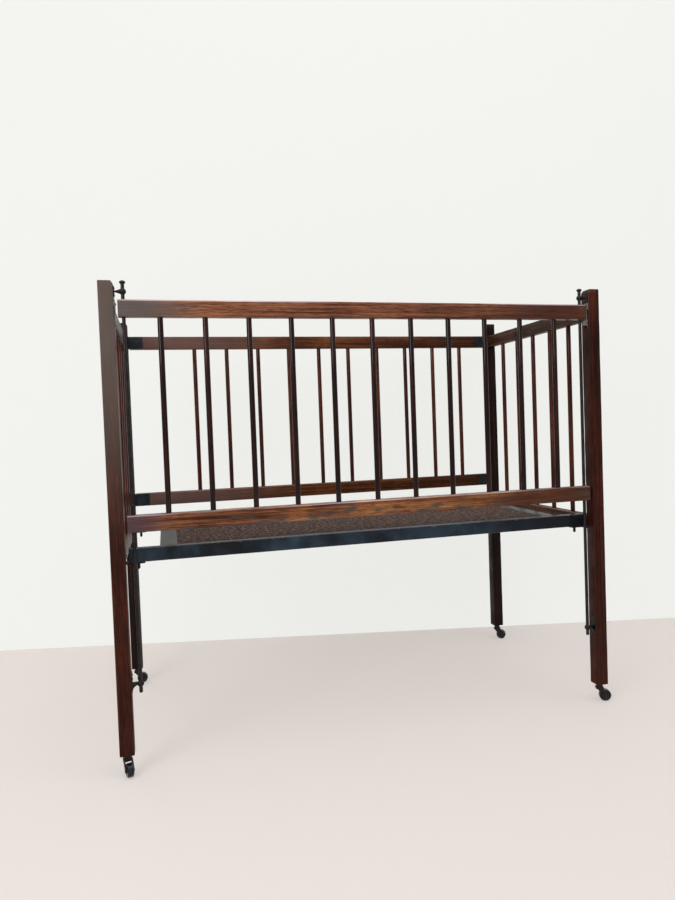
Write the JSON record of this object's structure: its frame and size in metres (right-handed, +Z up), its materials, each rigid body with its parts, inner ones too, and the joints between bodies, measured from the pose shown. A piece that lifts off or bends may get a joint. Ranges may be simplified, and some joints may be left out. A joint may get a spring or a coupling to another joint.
{
  "type": "drop-side cot",
  "caption": "Four-post wooden drop-side cot with slatted sides, lift-out cane base, iron slide rods and small castors.",
  "frame": {"origin": "floor level, under the middle of the four posts", "axes": "+X along the length to the right, +Y towards the fixed back, +Z up; the drop side faces -Y"},
  "size_m": [1.2458, 0.6123, 1.0874],
  "materials": {
    "dark_wood": "stained, satin varnish",
    "base_wood": "grey-black stain, worn",
    "cane": "aged split cane",
    "black_iron": "black japanned",
    "rod_steel": "dull, darkened",
    "wheel_iron": "worn tread"
  },
  "bodies": {
    "frame": {"back_base_straps": "black_iron", "back_bottom_rail": "dark_wood", "back_left_post": "dark_wood", "back_right_post": "dark_wood", "back_spindles": "dark_wood", "back_top_rail": "dark_wood", "castor_sockets": "black_iron", "catch_brackets": "black_iron", "catch_pins": "black_iron", "catch_springs": "black_iron", "end_bottom_rail_left": "dark_wood", "end_bottom_rail_right": "dark_wood", "end_spindles_left": "dark_wood", "end_spindles_right": "dark_wood", "end_top_rail_left": "dark_wood", "end_top_rail_right": "dark_wood", "front_base_straps": "black_iron", "front_left_post": "dark_wood", "front_right_post": "dark_wood", "hinge_pins": "black_iron", "hinge_post_leaves": "black_iron", "hinge_rail_leaves": "black_iron", "lower_rod_eyes": "black_iron", "upper_rod_eyes": "black_iron"},
    "drop_side": {"front_top_rail": "dark_wood", "front_bottom_rail": "dark_wood", "front_spindles": "dark_wood"},
    "base": {"base_front_rail": "base_wood", "base_back_rail": "base_wood", "base_cross_member_left": "base_wood", "base_cross_member_right": "base_wood", "cane_panel": "cane", "base_pins": "black_iron"},
    "rod_left": {"slide_rod_left": "rod_steel"},
    "rod_right": {"slide_rod_right": "rod_steel"},
    "catch_left": {"catch_lever_left": "black_iron"},
    "catch_right": {"catch_lever_right": "black_iron"},
    "castor_front_left": {"castor_horn_front_left": "black_iron", "castor_axle_front_left": "black_iron"},
    "wheel_front_left": {"castor_wheel_front_left": "wheel_iron"},
    "castor_front_right": {"castor_horn_front_right": "black_iron", "castor_axle_front_right": "black_iron"},
    "wheel_front_right": {"castor_wheel_front_right": "wheel_iron"},
    "castor_back_left": {"castor_horn_back_left": "black_iron", "castor_axle_back_left": "black_iron"},
    "wheel_back_left": {"castor_wheel_back_left": "wheel_iron"},
    "castor_back_right": {"castor_horn_back_right": "black_iron", "castor_axle_back_right": "black_iron"},
    "wheel_back_right": {"castor_wheel_back_right": "wheel_iron"}
  },
  "joints": [
    {"name": "drop_side_slide", "type": "slide", "parent": "frame", "child": "drop_side", "axis": [0, 0, 1], "range_m": [-0.329, 0.0115]},
    {"name": "base_lift", "type": "slide", "parent": "frame", "child": "base", "axis": [0, 0, 1], "range_m": [0, 0.65]},
    {"name": "rod_left_draw", "type": "slide", "parent": "frame", "child": "rod_left", "axis": [0, 0, 1], "range_m": [0, 0.9]},
    {"name": "rod_right_draw", "type": "slide", "parent": "frame", "child": "rod_right", "axis": [0, 0, 1], "range_m": [0, 0.9]},
    {"name": "catch_left_swing", "type": "hinge", "parent": "frame", "child": "catch_left", "pos_m": [-0.583, -0.2887, 1.036], "axis": [0, -1, 0], "range_deg": [0, 7.5], "stiffness_Nm_per_rad": 0.25, "springref_deg": 28.65},
    {"name": "catch_right_swing", "type": "hinge", "parent": "frame", "child": "catch_right", "pos_m": [0.583, -0.2887, 1.036], "axis": [0, 1, 0], "range_deg": [0, 7.5], "stiffness_Nm_per_rad": 0.25, "springref_deg": 28.65},
    {"name": "castor_front_left_swivel", "type": "hinge", "parent": "frame", "child": "castor_front_left", "pos_m": [-0.60072, -0.28382, 0.04], "axis": [0, 0, 1], "continuous": true},
    {"name": "wheel_front_left_spin", "type": "hinge", "parent": "castor_front_left", "child": "wheel_front_left", "pos_m": [-0.597, -0.2968, 0.015], "axis": [-0.9613, -0.2756, 0], "continuous": true},
    {"name": "castor_front_right_swivel", "type": "hinge", "parent": "frame", "child": "castor_front_right", "pos_m": [0.60072, -0.28382, 0.04], "axis": [0, 0, 1], "continuous": true},
    {"name": "wheel_front_right_spin", "type": "hinge", "parent": "castor_front_right", "child": "wheel_front_right", "pos_m": [0.61341, -0.28844, 0.015], "axis": [-0.342, -0.9397, 0], "continuous": true},
    {"name": "castor_back_left_swivel", "type": "hinge", "parent": "frame", "child": "castor_back_left", "pos_m": [-0.60072, 0.28382, 0.04], "axis": [0, 0, 1], "continuous": true},
    {"name": "wheel_back_left_spin", "type": "hinge", "parent": "castor_back_left", "child": "wheel_back_left", "pos_m": [-0.58722, 0.28382, 0.015], "axis": [0, -1, 0], "continuous": true},
    {"name": "castor_back_right_swivel", "type": "hinge", "parent": "frame", "child": "castor_back_right", "pos_m": [0.60072, 0.28382, 0.04], "axis": [0, 0, 1], "continuous": true},
    {"name": "wheel_back_right_spin", "type": "hinge", "parent": "castor_back_right", "child": "wheel_back_right", "pos_m": [0.61107, 0.27515, 0.015], "axis": [-0.6428, -0.766, 0], "continuous": true}
  ]
}
